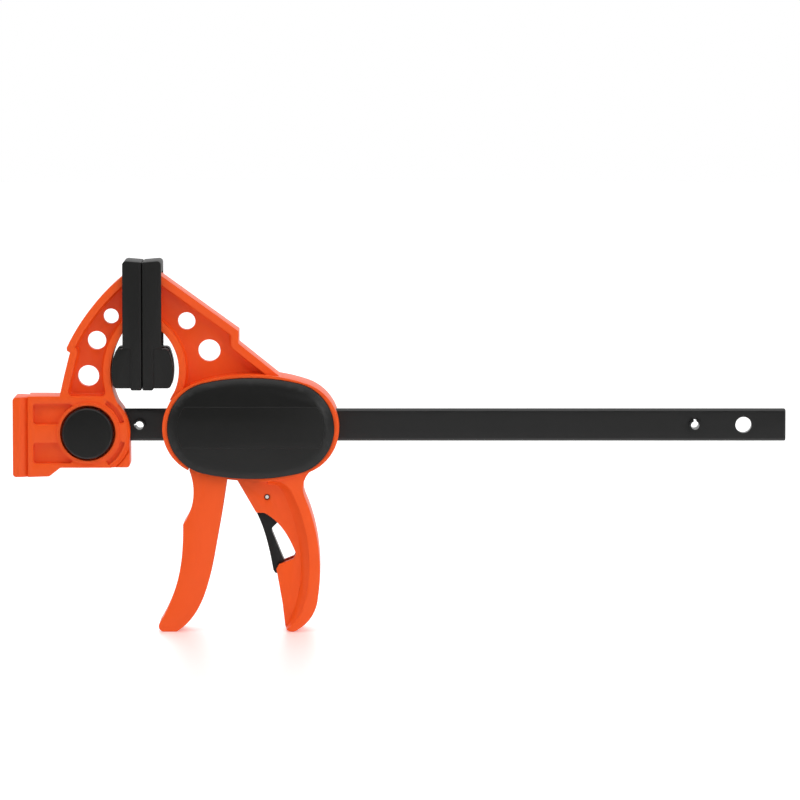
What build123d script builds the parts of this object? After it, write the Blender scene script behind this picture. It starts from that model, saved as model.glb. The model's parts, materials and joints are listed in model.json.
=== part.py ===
from build123d import *
import math
import os

os.makedirs("parts", exist_ok=True)

# Quick release bar clamp with its pads together.  Millimetres and degrees.
# X runs along the bar towards its free end, Z from the handles up to the jaw
# tips, and Y across the clamp.  The origin is on the bar's centreline, in the
# plane where the two pads meet.

# ---------------------------------------------------------------- fits
slide_clearance = 0.15  # a bar in its guides, each side
pin_clearance = 0.05  # a hinge pin in a moving piece, radial
part_gap = 0.3  # between pieces that pass each other
weld_overlap = 0.5  # that a feature is drawn into its neighbour

# ----------------------------------------------------------------- bar
bar_height = 14.0
bar_thickness = 4.8
bar_edge_radius = 1.4
bar_hole_diameter = 7.0
bar_hole_to_end = 18.3
lock_hole_x = -23.6
hang_hole_x = 260.4
stop_pin_diameter = 5.0
stop_pin_wall = 0.7
stop_pin_slot = 1.3
stop_pin_length = 11.0
front_pin_x = -1.5
rear_pin_x = 239.3

# ---------------------------------------------------------------- pads
pad_half_width = 12.5
pad_face_gap = 0.3
pad_face_thickness = 4.7
pad_depth = 8.25
pad_top_z = 71.2
pad_top_rise = 0.7
pad_bottom_z = 15.8
pad_side_wall = 1.4
pad_top_wall = 1.6
pad_edge_radius = 0.7
pad_crown_radius = 1.7
ear_corner_radius = 1.8
socket_bottom_z = 34.2
ear_half_width = 11.4
ear_top_z = 33.6
ear_bottom_z = 16.6
ear_top_reach = 11.0
ear_reach = 13.2
ear_bottom_reach = 12.2
ear_widest_z = 23.8

# ---------------------------------------------------------------- jaws
arm_half_width = 9.5
web_half_width = 2.5
rim_width = 3.1
flange_thickness = 2.2
flange_bottom_z = 36.5
spine_reach = 10.6  # the flange's narrow foot between the pad's ears
spine_inset = 1.9  # below the ears' top and above their bottom

# Fixed jaw: curved arm over a square block at the front end of the bar.
arm_top_z = 68.7  # where both arms' top edges would meet their inner end
fixed_arm_back = (-22.1, 51.1)
fixed_arm_heel = (-32.6, 34.2)
fixed_arm_waist = (-33.5, 23.0)
fixed_arm_root_x = -36.4
heel_notch = ((-32.5, 32.8), (-31.2, 32.0))
fixed_throat_centre = (16.2, 23.3)
fixed_throat_radius = 30.0
fixed_holes = (((-23.6, 21.4), 4.6), ((-19.9, 36.8), 4.05), ((-13.7, 47.3), 3.3))
block_half_width = 10.0
block_corner_radius = 1.4
block_left_x = -56.1
block_top_z = 13.0
flange_top_drop = 0.5
block_bottom_z = -22.0
block_step_x = (-40.3, -35.6)
block_step_z = (-21.7, -18.0)
flange_edge_x = -53.0
cove_edge_x = -49.5
cove_depth = 2.2
nose_radius = 18.2
nose_chamfer = 1.2
nose_bevel_turns = (-42.0, 56.0)  # up and down from the level of the button
nose_edge_x = (-41.4, -39.6)  # where the block's faces slope down to the nose's
web_chamfer = 1.0
pocket_radius = 2.0
corner_web_x = -5.6
corner_web_half_width = 8.0
corner_web_radius = 1.3
block_pocket_x = -47.3
block_pocket_width = 17.0
block_pocket_height = 9.1
block_pocket_spacing = 17.0
block_pocket_depth = 2.6
block_pocket_radius = 1.5
block_pocket_drop = 0.2  # their middle below the button

# ------------------------------------------------- quick-change button
button_z = -2.9
button_radius = 11.1
button_thickness = 4.0
button_bevel = 0.7
button_travel = 4.2
button_pocket_radius = 12.0
button_floor = 1.6
ring_width = 1.4
ring_height = 0.8
ring_slot_inner = 14.4
ring_slot_outer = 16.5
ring_slot_depth = 1.8
ring_slot_turns = (38.0, -36.0)
ring_slot_span = 43.0
latch_leg_width = 9.0
latch_leg_thickness = 3.4
latch_leg_drop = 1.6
latch_plate_radius = 10.2
latch_plate_thickness = 3.0
latch_plate_bevel = 0.6
latch_plate_y = 5.0
lock_pin_diameter = 6.6
lock_pin_bevel = 0.5
button_spring_radius = 4.2
button_spring_wire = 0.8
button_spring_turns = 3

# -------------------------------------------------------- sliding jaw
housing_x = 46.9
housing_z = -0.6
housing_half_length = 38.2
housing_half_height = 23.3
housing_flank_radius = 76.5
housing_half_width = 13.3
ring_end_wall = 2.2  # the ring that shows round the covers
ring_flank_wall = 1.5
cover_flank_radius = 92.0
cover_seat_depth = 1.8  # from the ring's face to the ledge the covers sit on
cover_wall = 2.8
cover_bevel = 3.4
cover_bevel_depth = 1.6
cover_band_height = 17.8
cover_band_inset = cover_bevel + 0.8
cover_band_lift = 0.6  # its middle above the housing's
cover_band_rise = 0.25
cover_hollow_inset = (8.6, 5.0)
cover_hollow_depth = 2.4
cover_post_radius = 1.6
cover_post_length = 4.0
cover_post_inset = 2.6
cover_post_z = 9.5
guide_length = 6.9
guide_overlap = 0.6
boss_rib_thickness = 3.0
boss_arm_clearance = 0.2  # between the pivot boss and each arm of the trigger
spring_seat_drop = 1.8  # below the bar's slot
fulcrum_drop = 2.5  # of the brake's fulcrum block below the top of its plate
trigger_gap_x = 19.9
trigger_gap_end_x = 50.6
trigger_gap_height = 14.0
moving_arm_shoulder = (41.6, 41.3)
shoulder_drop = 5.4
moving_arm_root = (60.1, 21.1)
moving_arm_foot_z = 11.5
moving_throat_centre = (-7.2, 24.4)
moving_throat_radius = 23.0
moving_holes = (((19.0, 45.2), 3.8), ((28.8, 32.4), 4.8))

# ---------------------------------------------------------------- grip
grip_half_width = 7.5
grip_slot_half_width = 5.0
grip_top_z = -14.0
grip_neck_x = 46.0
grip_spine_z = (-20.5, -23.2)
grip_front = ((40.8, -23.4), (49.1, -37.7), (52.6, -37.8))
grip_opening = ((52.6, -37.8), (58.2, -42.0), (63.4, -49.2), (66.3, -55.7))
grip_foot = (
    (66.3, -55.7), (65.2, -57.8), (58.9, -60.3), (57.8, -62.4), (60.4, -77.0), (61.6, -87.0),
)
grip_tip = (63.6, -89.1)
palm_half_width = 12.0
palm_slope_height = 3.8  # of the slope between the panel and the palm's rim
palm_neck = (54.0, -14.0)
palm_rim = ((54.1, -23.8), (64.5, -28.3), (70.9, -47.1), (70.1, -76.6), (62.2, -88.2))
palm_rim_start = 16.4  # degrees up from level, of the rim's first arc
palm_slope_foot = ((54.1, -25.3), (60.5, -28.4), (65.7, -42.2), (68.4, -62.1), (61.9, -87.6))
palm_slope_start = 12.3
palm_core = (
    (65.6, -87.2), (72.4, -78.0), (74.8, -60.0), (71.0, -38.0), (67.4, -24.0), (54.1, -20.0),
)
palm_tip = (64.4, -89.15)
palm_back = ((67.2, -88.2), (75.7, -75.8), (75.0, -45.9), (70.3, -30.9), (75.0, -17.6))
palm_back_start = 29.8
lever_slot_top = ((48.4, -15.0), (60.0, -15.0), (60.5, -43.0))
lever_slot_back_z = (-52.0, -56.5, -62.0, -66.8)
slot_back_ease = (2.5, 4.5)
lever_slot_front = ((52.0, -66.8), (45.0, -38.0), (50.6, -37.6), (48.4, -31.0))

# ------------------------------------------------------------- trigger
pivot_x = 27.3
pivot_z = 13.5
pivot_pin_diameter = 4.0
trigger_half_width = 11.0
trigger_wall = 2.8
trigger_front_wall = 2.4
trigger_front_upper = (
    (20.3, -19.1), (21.9, -25.7), (21.6, -33.0), (19.9, -38.4), (17.5, -42.6),
)
trigger_front_lower = (
    (17.5, -42.6), (17.4, -49.0), (16.5, -59.7), (14.1, -70.2), (7.0, -86.0),
)
trigger_tip = ((7.4, -88.4), (9.6, -89.2))
trigger_back = (
    (14.6, -89.2), (21.2, -83.3), (27.7, -70.2), (31.2, -54.4), (34.0, -38.7), (36.5, -22.6),
)
trigger_neck_z = 4.0  # above and below the bar's middle, where the neck is straight
trigger_channel_end = (14.5, -82.0)
trigger_hub_radius = 5.2
push_nose_x = 37.0
push_nose_radius = 3.0
trigger_travel = 18.0
trigger_web_top_z = -9.5
trigger_rib_z = (-33.0, -47.0, -61.0, -73.0)
trigger_rib_thickness = 1.6
trigger_rib_setback = 7.0
lug_inner_y = 3.2

# ------------------------------------------------- drive and brake parts
drive_plate_thickness = 2.0
drive_plate_half_width = 7.0
drive_plate_top_z = 11.5
drive_plate_bottom_z = -12.0
plate_corner_radius = 1.0
plate_clearance = 0.25
drive_spring_wire = 1.2
drive_spring_radius = 8.2
drive_spring_turns = 2.5
coil_sides = 12
wire_sides = 6
spring_margin = 1.0
spring_seat_thickness = 1.8
brake_x = 55.2
brake_plate_thickness = 2.0
brake_top_z = 12.0
brake_bottom_z = -12.5
brake_tilt = 4.0
brake_spring_wire = 0.9
brake_spring_turns = 3

# -------------------------------------------------------- release lever
lever_pin_x = 53.8
lever_pin_z = -30.9
lever_pin_diameter = 2.0
lever_pin_recess = 0.3
counterbore_depth = 1.5
counterbore_margin = 0.4
lever_half_width = 4.5
lever_hub_radius = 4.0
lever_travel = 8.0
lever_nose_z = -10.0
lever_nose_width = 3.6
lever_nose_drop = 5.0
lever_nose_bevels = (1.5, 1.0, 0.6, 0.9)  # back of the tip, front, tip and heel
lever_shank_half_width = 2.6
lever_shank_z = -27.9  # where the shank widens into the hub
lever_back = ((58.3, -40.5), (58.2, -42.4), (55.8, -44.8), (55.8, -46.1))
lever_finger_hollow = (58.4, -52.6)
lever_tail = (61.3, -59.6)
lever_tail_room = 1.8
lever_foot = ((60.6, -62.2), (58.4, -64.3), (57.4, -64.5), (56.4, -63.1))
lever_front = ((56.4, -63.1), (54.9, -55.3), (52.3, -45.6), (49.3, -38.2))
lever_shoulder = ((51.2, -38.2), (50.9, -35.0))


def side_plane(y):
    """The drawing plane of a side view, X to the right and Z up, at depth y."""
    return Plane.XZ.offset(-y)


def arc_run(points, start_angle):
    """Tangent arcs through the points, the first of which leaves at the angle."""
    tangent = (math.cos(math.radians(start_angle)), math.sin(math.radians(start_angle)))
    for start, end in zip(points, points[1:]):
        arc = TangentArc(start, end, tangent=tangent)
        tangent = arc % 1


def oval(half_length, half_height, flank_radius):
    """An oval face of four tangent arcs round the housing's centre.  The radius of
    its ends follows from that of its long flanks."""
    end_radius = (2 * flank_radius * half_height - half_height**2 - half_length**2) / (
        2 * (flank_radius - half_length)
    )
    turn = math.atan2(flank_radius - half_height, half_length - end_radius)
    joint_x = half_length - end_radius + end_radius * math.cos(turn)
    joint_z = end_radius * math.sin(turn)
    with BuildSketch() as outline:
        with BuildLine():
            ThreePointArc((joint_x, -joint_z), (half_length, 0), (joint_x, joint_z))
            ThreePointArc((joint_x, joint_z), (0, half_height), (-joint_x, joint_z))
            ThreePointArc((-joint_x, joint_z), (-half_length, 0), (-joint_x, -joint_z))
            ThreePointArc((-joint_x, -joint_z), (0, -half_height), (joint_x, -joint_z))
        make_face()
    return Pos(housing_x, housing_z) * outline.sketch


def coil_spring(start, length, radius, wire, turns):
    """A compression spring that stays inside its length, bent in short straights."""
    steps = round(coil_sides * turns)
    points = []
    for step in range(steps + 1):
        angle = 2 * math.pi * turns * step / steps
        rise = (length - wire) * step / steps
        points.append((radius * math.cos(angle), radius * math.sin(angle), rise))
    with BuildPart() as spring:
        with BuildLine() as wire_line:
            Polyline(*points)
        with BuildSketch(Plane(origin=points[0], z_dir=wire_line.line % 0)):
            RegularPolygon(wire / 2, wire_sides)
        sweep(transition=Transition.RIGHT)
    return start * Pos(0, 0, wire / 2) * spring.part


# ================================================================== bar
bar_left_x = lock_hole_x - bar_hole_to_end
bar_right_x = hang_hole_x + bar_hole_to_end

# Drawn steel flat with rolled edges, drilled at both ends alike.
with BuildPart() as bar:
    with BuildSketch(Plane.YZ.offset(bar_left_x)):
        RectangleRounded(bar_thickness, bar_height, bar_edge_radius)
    extrude(amount=bar_right_x - bar_left_x)
    with BuildSketch(side_plane(bar_thickness / 2)):
        with Locations((lock_hole_x, 0), (hang_hole_x, 0)):
            Circle(bar_hole_diameter / 2)
        with Locations((front_pin_x, 0), (rear_pin_x, 0)):
            Circle(stop_pin_diameter / 2)
    extrude(amount=bar_thickness, mode=Mode.SUBTRACT)
bar.part.label = "bar"
export_step(bar.part, "parts/bar.step")

# Slotted spring pins that stop the jaws, pressed through the bar.
with BuildPart() as bar_stop_pin_front:
    with BuildSketch(side_plane(stop_pin_length / 2)):
        with Locations((front_pin_x, 0)):
            Circle(stop_pin_diameter / 2)
            Circle(stop_pin_diameter / 2 - stop_pin_wall, mode=Mode.SUBTRACT)
        with Locations((front_pin_x, 0)):
            Rectangle(
                stop_pin_diameter,
                stop_pin_slot,
                align=(Align.MAX, Align.CENTER),
                mode=Mode.SUBTRACT,
            )
    extrude(amount=stop_pin_length)
bar_stop_pin_front.part.label = "bar_stop_pin_front"
export_step(bar_stop_pin_front.part, "parts/bar_stop_pin_front.step")

with BuildPart() as bar_stop_pin_rear:
    with BuildSketch(side_plane(stop_pin_length / 2)):
        with Locations((rear_pin_x, 0)):
            Circle(stop_pin_diameter / 2)
            Circle(stop_pin_diameter / 2 - stop_pin_wall, mode=Mode.SUBTRACT)
        with Locations((rear_pin_x, 0)):
            Rectangle(
                stop_pin_slot,
                stop_pin_diameter,
                align=(Align.CENTER, Align.MIN),
                mode=Mode.SUBTRACT,
            )
    extrude(amount=stop_pin_length)
bar_stop_pin_rear.part.label = "bar_stop_pin_rear"
export_step(bar_stop_pin_rear.part, "parts/bar_stop_pin_rear.step")

# ================================================================= pads
pad_face_x = pad_face_gap / 2
pad_back_x = pad_face_x + pad_depth
socket_x = pad_face_x + pad_face_thickness
flange_x = socket_x + slide_clearance
flange_back_x = flange_x + flange_thickness
flange_half_width = pad_half_width - pad_side_wall - slide_clearance
flange_top_z = pad_top_z - pad_top_wall - slide_clearance
spine_bottom_z = ear_bottom_z + spine_inset
spine_top_z = ear_top_z - spine_inset
arm_end_x = flange_back_x - rim_width - weld_overlap
shoulder_x, shoulder_z = moving_arm_shoulder
arm_slope = (shoulder_z - arm_top_z) / (shoulder_x - arm_end_x)
neck_z = arm_top_z + arm_slope * (flange_back_x - arm_end_x)
neck_top_z = neck_z + part_gap

# Moulded slip-on pad: a face plate, a pocket that slides down over the jaw's
# flange, and two ears that straddle the web below it.
with BuildPart() as moving_jaw_pad:
    with BuildSketch(side_plane(pad_half_width)):
        with BuildLine():
            Polyline(
                (pad_face_x, pad_bottom_z),
                (socket_x, pad_bottom_z),
                (socket_x, socket_bottom_z),
                (pad_back_x, socket_bottom_z),
                (pad_back_x, pad_top_z + pad_top_rise),
                (pad_face_x, pad_top_z),
                close=True,
            )
        make_face()
    extrude(amount=2 * pad_half_width)
    face_edges = moving_jaw_pad.edges().filter_by(Axis.Z).group_by(Axis.X)[0]
    foot_edges = moving_jaw_pad.edges().filter_by(Axis.Y).group_by(Axis.Z)[0]
    fillet(face_edges + foot_edges, radius=pad_edge_radius)
    crown_edge = moving_jaw_pad.edges().filter_by(Axis.Y).group_by(Axis.Z)[-1]
    fillet(crown_edge, radius=pad_crown_radius)
    with BuildSketch(side_plane(ear_half_width)) as ears:
        with BuildLine():
            Line((socket_x, ear_bottom_z), (ear_bottom_reach, ear_bottom_z))
            ThreePointArc(
                (ear_bottom_reach, ear_bottom_z),
                (ear_reach, ear_widest_z),
                (ear_top_reach, ear_top_z),
            )
            Line((ear_top_reach, ear_top_z), (pad_back_x, ear_top_z))
            Line((pad_back_x, ear_top_z), (pad_back_x, socket_bottom_z))
            Line((pad_back_x, socket_bottom_z), (socket_x, socket_bottom_z))
            Line((socket_x, socket_bottom_z), (socket_x, ear_bottom_z))
        make_face()
        outer_corners = ears.vertices().group_by(Axis.X)[-2:]
        fillet(outer_corners[0] + outer_corners[1], radius=ear_corner_radius)
    extrude(amount=2 * ear_half_width)
    # Slot for the web between the ears.
    with BuildSketch(Plane.YZ.offset(socket_x)):
        with Locations((0, (ear_bottom_z + socket_bottom_z) / 2)):
            Rectangle(
                2 * (web_half_width + part_gap), socket_bottom_z - ear_bottom_z + 2
            )
    extrude(amount=ear_reach, mode=Mode.SUBTRACT)
    # Pocket for the flange, open below between the ears and the face plate.
    with BuildSketch(Plane.XY.offset(ear_top_z)):
        with Locations(((socket_x + flange_back_x + slide_clearance) / 2, 0)):
            Rectangle(
                flange_thickness + 2 * slide_clearance,
                2 * (flange_half_width + slide_clearance),
            )
    extrude(amount=flange_top_z + slide_clearance - ear_top_z, mode=Mode.SUBTRACT)
    # Slot for the arm's neck between the two back lips.
    with BuildSketch(Plane.XY.offset(ear_top_z)):
        with Locations(((flange_back_x + pad_back_x) / 2 + 1, 0)):
            Rectangle(
                pad_back_x - flange_back_x + 2, 2 * (arm_half_width + part_gap)
            )
    extrude(amount=neck_top_z - ear_top_z, mode=Mode.SUBTRACT)
moving_jaw_pad.part.label = "moving_jaw_pad"
export_step(moving_jaw_pad.part, "parts/moving_jaw_pad.step")

with BuildPart() as fixed_jaw_pad:
    mirror(moving_jaw_pad.part, about=Plane.YZ)
fixed_jaw_pad.part.label = "fixed_jaw_pad"
export_step(fixed_jaw_pad.part, "parts/fixed_jaw_pad.step")

# ============================================================ fixed jaw
throat_x, throat_z = fixed_throat_centre
fixed_inner_z = throat_z + math.sqrt(fixed_throat_radius**2 - (throat_x + arm_end_x) ** 2)
arm_root_z = block_top_z - rim_width
fixed_root_x = throat_x - math.sqrt(
    fixed_throat_radius**2 - (arm_root_z - throat_z) ** 2
)
ring_radius = button_pocket_radius + ring_width
bar_slot_half_height = bar_height / 2 + slide_clearance
bar_slot_half_width = bar_thickness / 2 + slide_clearance
button_floor_y = -(bar_slot_half_width + button_floor)
latch_leg_top_z = -(bar_slot_half_height + latch_leg_drop)
nose_bottom_x = lock_hole_x + math.sqrt(
    nose_radius**2 - (block_step_z[1] - button_z) ** 2
)
nose_top_x = lock_hole_x + math.sqrt(nose_radius**2 - (block_top_z - button_z) ** 2)

with BuildPart() as fixed_jaw:
    # Arm: a thin web with a rim round it, both drawn on past the pad's flange so
    # that the pocket between the rims is open there, and cut off behind it.
    with BuildSketch(Plane.XZ, mode=Mode.PRIVATE) as fixed_arm:
        with BuildLine():
            ThreePointArc((-arm_end_x, arm_top_z), fixed_arm_back, fixed_arm_heel)
            Polyline(fixed_arm_heel, *heel_notch)
            ThreePointArc(
                heel_notch[-1],
                fixed_arm_waist,
                (fixed_arm_root_x, arm_root_z),
            )
            Line((fixed_arm_root_x, arm_root_z), (fixed_root_x, arm_root_z))
            ThreePointArc(
                (fixed_root_x, arm_root_z),
                (throat_x - fixed_throat_radius, throat_z),
                (-arm_end_x, fixed_inner_z),
            )
            Line((-arm_end_x, fixed_inner_z), (-arm_end_x, arm_top_z))
        make_face()
    with BuildSketch(side_plane(web_half_width)):
        add(fixed_arm.sketch_local)
        with Locations((-flange_back_x, neck_z)):
            Rectangle(arm_top_z, arm_top_z, align=Align.MAX, mode=Mode.INTERSECT)
    extrude(amount=2 * web_half_width)
    with BuildSketch(Plane.XZ, mode=Mode.PRIVATE) as fixed_pocket:
        offset(fixed_arm.sketch_local, amount=-rim_width)
        pocket_foot = fixed_pocket.vertices().group_by(Axis.Y)[0]
        fillet(pocket_foot, radius=pocket_radius)
    with BuildSketch(side_plane(arm_half_width)):
        add(fixed_arm.sketch_local)
        add(fixed_pocket.sketch_local, mode=Mode.SUBTRACT)
        with Locations((-flange_back_x, neck_z)):
            Rectangle(arm_top_z, arm_top_z, align=Align.MAX, mode=Mode.INTERSECT)
    extrude(amount=2 * arm_half_width)
    web_edges = (
        fixed_jaw.edges()
        .filter_by(lambda e: abs(abs(e.center().Y) - web_half_width) < 0.01)
        .filter_by(lambda e: e.center().X < -flange_back_x - 0.01)
    )
    chamfer(web_edges, length=web_chamfer)
    # Flange that carries the pad, and its narrow foot between the pad's ears.
    with BuildSketch(Plane.XY.offset(flange_bottom_z)):
        with Locations((-(flange_x + flange_back_x) / 2, 0)):
            Rectangle(flange_thickness, 2 * flange_half_width)
    extrude(amount=flange_top_z - flange_bottom_z)
    with BuildSketch(side_plane(web_half_width)):
        with Locations((-flange_x, spine_bottom_z)):
            Rectangle(
                flange_thickness,
                flange_bottom_z + flange_thickness - spine_bottom_z,
                align=(Align.MAX, Align.MIN),
            )
            Rectangle(
                spine_reach - flange_x,
                spine_top_z - spine_bottom_z,
                align=(Align.MAX, Align.MIN),
            )
    extrude(amount=2 * web_half_width)
    # Block that holds the end of the bar, with a round nose about the button.
    with BuildSketch(side_plane(block_half_width)) as block:
        with BuildLine():
            Polyline(
                (nose_top_x, block_top_z),
                (cove_edge_x, block_top_z),
                (cove_edge_x, block_top_z - flange_top_drop),
                (block_left_x, block_top_z - flange_top_drop),
                (block_left_x, block_bottom_z),
                (cove_edge_x, block_bottom_z),
                (block_step_x[0], block_step_z[0]),
                (block_step_x[1], block_step_z[1]),
                (nose_bottom_x, block_step_z[1]),
            )
            ThreePointArc(
                (nose_bottom_x, block_step_z[1]),
                (lock_hole_x + nose_radius, button_z),
                (nose_top_x, block_top_z),
            )
        make_face()
        corners = block.vertices().group_by(Axis.X)
        step_corners = block.vertices().filter_by(
            lambda v: block_step_x[0] - 0.01 < v.X < block_step_x[1] + 0.01
        )
        fillet(corners[0] + step_corners, radius=block_corner_radius)
    extrude(amount=2 * block_half_width)
    with BuildSketch(side_plane(corner_web_half_width)) as corner_web:
        with Locations((corner_web_x, block_step_z[1])):
            Rectangle(
                corner_web_x - lock_hole_x,
                button_z - block_step_z[1],
                align=(Align.MAX, Align.MIN),
            )
        fillet(
            corner_web.vertices().group_by(Axis.X)[-1].sort_by(Axis.Y)[0],
            radius=corner_web_radius,
        )
    extrude(amount=2 * corner_web_half_width)
    # Cove down both faces, which slopes in and ends in a sharp wall, and the
    # slope down to the lower faces of the nose.
    nose_end_x = lock_hole_x + nose_radius
    with BuildSketch(Plane.XY.offset(block_bottom_z)):
        for side in (-1, 1):
            with BuildLine():
                Polyline(
                    (flange_edge_x, side * block_half_width),
                    (cove_edge_x, side * (block_half_width - cove_depth)),
                    (cove_edge_x, side * block_half_width),
                    close=True,
                )
            make_face()
            with BuildLine():
                Polyline(
                    (nose_edge_x[0], side * block_half_width),
                    (nose_edge_x[1], side * arm_half_width),
                    (nose_end_x, side * arm_half_width),
                    (nose_end_x, side * block_half_width),
                    close=True,
                )
            make_face()
    extrude(amount=block_top_z - block_bottom_z, mode=Mode.SUBTRACT)
    # Bevel round the nose, turned from below the arm's foot down to the web.
    nose_bevel_x = nose_end_x + nose_chamfer
    for turn in nose_bevel_turns:
        with BuildSketch(Plane.XY.offset(button_z)):
            for side in (-1, 1):
                with BuildLine():
                    Polyline(
                        (nose_end_x - nose_chamfer, side * arm_half_width),
                        (nose_bevel_x, side * arm_half_width),
                        (nose_bevel_x, side * (arm_half_width - 2 * nose_chamfer)),
                        close=True,
                    )
                make_face()
        revolve(
            axis=Axis((lock_hole_x, 0, button_z), (0, 1, 0)),
            revolution_arc=turn,
            mode=Mode.SUBTRACT,
        )
    # Two weight-saving pockets on each face, cut round by the button's ring.
    with BuildSketch(Plane.XZ, mode=Mode.PRIVATE) as pocket_shape:
        for side in (-1, 1):
            with Locations(
                (
                    block_pocket_x + block_pocket_width / 2,
                    button_z - block_pocket_drop + side * block_pocket_spacing / 2,
                )
            ):
                RectangleRounded(block_pocket_width, block_pocket_height, block_pocket_radius)
        with Locations((lock_hole_x, button_z)):
            Circle(ring_radius, mode=Mode.SUBTRACT)
    pocket_floor = arm_half_width - block_pocket_depth
    for side in (-1, 1):
        with BuildSketch(side_plane(side * pocket_floor)):
            add(pocket_shape.sketch_local)
        extrude(amount=-side * block_half_width, mode=Mode.SUBTRACT)
    # Raised ring round the button and the two curved grooves beside it.
    with BuildSketch(side_plane(-arm_half_width)):
        with Locations((lock_hole_x, button_z)):
            Circle(ring_radius)
    extrude(amount=ring_height)
    with BuildSketch(side_plane(-arm_half_width + ring_slot_depth)):
        for turn in ring_slot_turns:
            start_turn = turn - ring_slot_span / 2
            with BuildLine():
                inner = CenterArc(
                    (lock_hole_x, button_z), ring_slot_inner, start_turn, ring_slot_span
                )
                outer = CenterArc(
                    (lock_hole_x, button_z), ring_slot_outer, start_turn, ring_slot_span
                )
                Line(inner @ 0, outer @ 0)
                Line(inner @ 1, outer @ 1)
            make_face()
    extrude(amount=block_half_width, mode=Mode.SUBTRACT)
    # Button well in front, latch plate recess behind.
    with BuildSketch(side_plane(button_floor_y)):
        with Locations((lock_hole_x, button_z)):
            Circle(button_pocket_radius)
    extrude(amount=block_half_width, mode=Mode.SUBTRACT)
    with BuildSketch(side_plane(latch_plate_y - part_gap)):
        with Locations((lock_hole_x, button_z)):
            Circle(latch_plate_radius + part_gap)
    extrude(amount=-block_half_width, mode=Mode.SUBTRACT)
    # Slot for the latch leg under the bar.
    with BuildSketch(side_plane(block_half_width)):
        with Locations((lock_hole_x, latch_leg_top_z + part_gap)):
            Rectangle(
                latch_leg_width + 2 * part_gap,
                latch_leg_thickness + 2 * part_gap,
                align=(Align.CENTER, Align.MAX),
            )
    extrude(amount=2 * block_half_width, mode=Mode.SUBTRACT)
    # Slot for the bar, and the hole its lock pin comes through.
    with BuildSketch(Plane.YZ.offset(bar_left_x - slide_clearance)):
        Rectangle(2 * bar_slot_half_width, 2 * bar_slot_half_height)
    extrude(amount=-bar_left_x, mode=Mode.SUBTRACT)
    with BuildSketch(side_plane(block_half_width)):
        with Locations((lock_hole_x, 0)):
            Circle(lock_pin_diameter / 2 + slide_clearance)
    extrude(amount=block_half_width, mode=Mode.SUBTRACT)
    with BuildSketch(side_plane(arm_half_width)):
        for centre, radius in fixed_holes:
            with Locations(centre):
                Circle(radius)
    extrude(amount=2 * arm_half_width, mode=Mode.SUBTRACT)
fixed_jaw.part.label = "fixed_jaw"
export_step(fixed_jaw.part, "parts/fixed_jaw.step")

# ================================================= quick-change button
button_back_y = button_floor_y - button_travel - part_gap
spring_outer_radius = button_spring_radius + button_spring_wire / 2

# Push button: a dished disc with one leg that passes under the bar.
with BuildPart() as release_button:
    with BuildSketch(side_plane(button_back_y)):
        with Locations((lock_hole_x, button_z)):
            Circle(button_radius)
    extrude(amount=button_thickness)
    front_edge = release_button.edges().group_by(Axis.Y)[0]
    chamfer(front_edge, length=button_bevel)
    with BuildSketch(side_plane(button_back_y)):
        with Locations((lock_hole_x, button_z)):
            Circle(spring_outer_radius + part_gap)
    extrude(amount=button_thickness / 2, mode=Mode.SUBTRACT)
    with BuildSketch(side_plane(latch_plate_y)):
        with Locations((lock_hole_x, latch_leg_top_z)):
            Rectangle(
                latch_leg_width, latch_leg_thickness, align=(Align.CENTER, Align.MAX)
            )
    extrude(amount=latch_plate_y - button_back_y)
release_button.part.label = "release_button"
export_step(release_button.part, "parts/release_button.step")

# Round plate behind the bar that joins the leg to the lock pin.
with BuildPart() as latch_plate:
    with BuildSketch(side_plane(latch_plate_y + latch_plate_thickness)):
        with Locations((lock_hole_x, button_z)):
            Circle(latch_plate_radius)
    extrude(amount=latch_plate_thickness)
    back_edge = latch_plate.edges().group_by(Axis.Y)[-1]
    chamfer(back_edge, length=latch_plate_bevel)
    with BuildSketch(side_plane(latch_plate_y + latch_plate_thickness / 2)):
        with Locations((lock_hole_x, 0)):
            Circle(lock_pin_diameter / 2)
    extrude(amount=latch_plate_thickness, mode=Mode.SUBTRACT)
latch_plate.part.label = "latch_plate"
export_step(latch_plate.part, "parts/latch_plate.step")

# Turned steel pin that locks the bar in the fixed jaw.
lock_pin_tip_y = bar_thickness / 2 + slide_clearance - button_travel
with BuildPart() as lock_pin:
    with BuildSketch(side_plane(latch_plate_y + latch_plate_thickness / 2)):
        with Locations((lock_hole_x, 0)):
            Circle(lock_pin_diameter / 2)
    extrude(amount=latch_plate_y + latch_plate_thickness / 2 - lock_pin_tip_y)
    tip_edge = lock_pin.edges().group_by(Axis.Y)[0]
    chamfer(tip_edge, length=lock_pin_bevel)
lock_pin.part.label = "lock_pin"
export_step(lock_pin.part, "parts/lock_pin.step")

# Spring that pushes the button out again, between the well's floor and the disc.
button_spring_length = button_floor_y - (button_back_y - button_thickness / 2)
with BuildPart() as button_spring:
    add(
        coil_spring(
            Plane(
                origin=(lock_hole_x, button_floor_y, button_z), z_dir=(0, -1, 0)
            ).location,
            button_spring_length,
            button_spring_radius,
            button_spring_wire,
            button_spring_turns,
        )
    )
button_spring.part.label = "button_spring"
export_step(button_spring.part, "parts/button_spring.step")

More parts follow.
